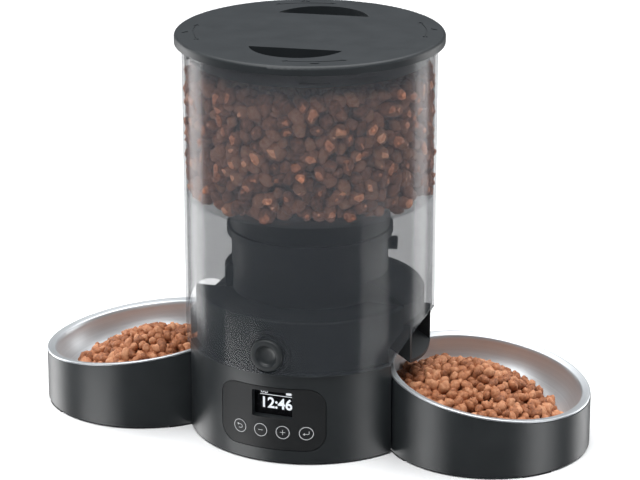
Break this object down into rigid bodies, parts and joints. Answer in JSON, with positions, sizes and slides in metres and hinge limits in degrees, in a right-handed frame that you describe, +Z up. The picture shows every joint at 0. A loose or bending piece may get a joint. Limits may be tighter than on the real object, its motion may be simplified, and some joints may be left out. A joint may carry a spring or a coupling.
{
  "type": "automatic pet feeder",
  "caption": "Cylindrical automatic pet feeder: a smoked clear hopper on a dark drum-shaped base with a display and keys, and a steel bowl in a slanted tray on each side.",
  "frame": {"origin": "centre of the footprint, on the surface that the feeder stands on", "axes": "+Z up, -Y the front with the display, +X to the right of a person facing the display"},
  "size_m": [0.434, 0.2, 0.3069],
  "materials": {
    "dark_plastic": "satin moulded",
    "lid_plastic": "fine satin",
    "core_plastic": "matt moulded",
    "panel_plastic": "fine matt",
    "rubber": "matt",
    "steel": "bright",
    "stainless": "satin drawn",
    "smoke_clear": "clear smoke tinted plastic",
    "display_glass": "clear",
    "display_black": "gloss",
    "circuit_board": "solder mask",
    "switch_grey": "matt",
    "cell_wrap": "printed sleeve",
    "gear_plastic": "natural acetal",
    "rotor_rubber": "soft matt",
    "bush_brass": "sintered",
    "motor_metal": "plated"
  },
  "bodies": {
    "root": {"base_shell": "dark_plastic", "base_bottom": "dark_plastic", "base_feet": "rubber", "base_screws": "steel", "battery_box": "core_plastic", "battery_cells": "cell_wrap", "battery_contacts": "steel", "front_panel": "panel_plastic", "display_lens": "display_glass", "display_module": "display_black", "main_board": "circuit_board", "key_switches": "switch_grey", "power_inlet": "rubber", "core_housing": "core_plastic", "chute_left": "core_plastic", "chute_right": "core_plastic", "rotor_plate": "core_plastic", "outlet_baffle": "core_plastic", "shaft_bushes": "bush_brass", "gear_box": "motor_metal", "motor_can": "motor_metal", "motor_bracket": "core_plastic", "motor_screws": "steel"},
    "door": {"battery_door": "dark_plastic"},
    "key_back_cap": {"key_back": "panel_plastic"},
    "key_minus_cap": {"key_minus": "panel_plastic"},
    "key_plus_cap": {"key_plus": "panel_plastic"},
    "key_enter_cap": {"key_enter": "panel_plastic"},
    "rotor_set": {"rotor": "rotor_rubber", "agitator": "core_plastic", "rotor_gear": "gear_plastic", "drive_shaft": "steel"},
    "pinion": {"drive_pinion": "gear_plastic"},
    "hopper": {"hopper_tube": "smoke_clear", "hopper_floor": "smoke_clear", "hopper_collar": "core_plastic", "button_guide": "core_plastic", "button_spring": "steel"},
    "button": {"release_button": "dark_plastic"},
    "seal": {"lid_seal": "rubber"},
    "lid_set": {"lid": "lid_plastic", "desiccant_box": "core_plastic"},
    "dry_cap": {"desiccant_cap": "core_plastic"},
    "left_tray": {"tray_left": "dark_plastic", "tray_feet_left": "rubber"},
    "right_tray": {"tray_right": "dark_plastic", "tray_feet_right": "rubber"},
    "left_bowl": {"bowl_left": "stainless"},
    "right_bowl": {"bowl_right": "stainless"}
  },
  "joints": [
    {"name": "rotor_spin", "type": "hinge", "parent": "root", "child": "rotor_set", "pos_m": [0, 0, 0.125], "axis": [0, 0, 1], "continuous": true},
    {"name": "pinion_spin", "type": "hinge", "parent": "root", "child": "pinion", "pos_m": [0, 0.0336, 0.11], "axis": [0, 0, 1], "continuous": true},
    {"name": "hopper_lift", "type": "slide", "parent": "root", "child": "hopper", "axis": [0, 0, 1], "range_m": [0, 0.16]},
    {"name": "button_press", "type": "slide", "parent": "hopper", "child": "button", "axis": [0, 1, 0], "range_m": [0, 0.0015], "stiffness_N_per_m": 900},
    {"name": "lid_lift", "type": "slide", "parent": "hopper", "child": "seal", "axis": [0, 0, 1], "range_m": [0, 0.08]},
    {"name": "lid_turn", "type": "hinge", "parent": "seal", "child": "lid_set", "pos_m": [0, 0, 0.3], "axis": [0, 0, 1], "range_deg": [0, 22]},
    {"name": "cap_turn", "type": "hinge", "parent": "lid_set", "child": "dry_cap", "pos_m": [0, 0, 0.29], "axis": [0, 0, 1], "range_deg": [0, 40]},
    {"name": "left_tray_slide", "type": "slide", "parent": "root", "child": "left_tray", "axis": [-1, 0, 0], "range_m": [0, 0.08]},
    {"name": "right_tray_slide", "type": "slide", "parent": "root", "child": "right_tray", "axis": [1, 0, 0], "range_m": [0, 0.08]},
    {"name": "left_bowl_tip", "type": "hinge", "parent": "left_tray", "child": "left_bowl", "pos_m": [-0.06262, 0.0067, 0.06221], "axis": [0, 1, 0], "range_deg": [0, 25]},
    {"name": "right_bowl_tip", "type": "hinge", "parent": "right_tray", "child": "right_bowl", "pos_m": [0.06262, 0.0067, 0.06221], "axis": [0, -1, 0], "range_deg": [0, 25]},
    {"name": "door_open", "type": "hinge", "parent": "root", "child": "door", "pos_m": [0, 0.0615, 0.003], "axis": [1, 0, 0], "range_deg": [0, 80]},
    {"name": "back_press", "type": "slide", "parent": "root", "child": "key_back_cap", "axis": [0, 1, 0], "range_m": [0, 0.0006], "stiffness_N_per_m": 400},
    {"name": "minus_press", "type": "slide", "parent": "root", "child": "key_minus_cap", "axis": [0, 1, 0], "range_m": [0, 0.0006], "stiffness_N_per_m": 400},
    {"name": "plus_press", "type": "slide", "parent": "root", "child": "key_plus_cap", "axis": [0, 1, 0], "range_m": [0, 0.0006], "stiffness_N_per_m": 400},
    {"name": "enter_press", "type": "slide", "parent": "root", "child": "key_enter_cap", "axis": [0, 1, 0], "range_m": [0, 0.0006], "stiffness_N_per_m": 400}
  ],
  "couplings": [
    {"joint": "pinion_spin", "follows": "rotor_spin", "ratio": -3}
  ]
}
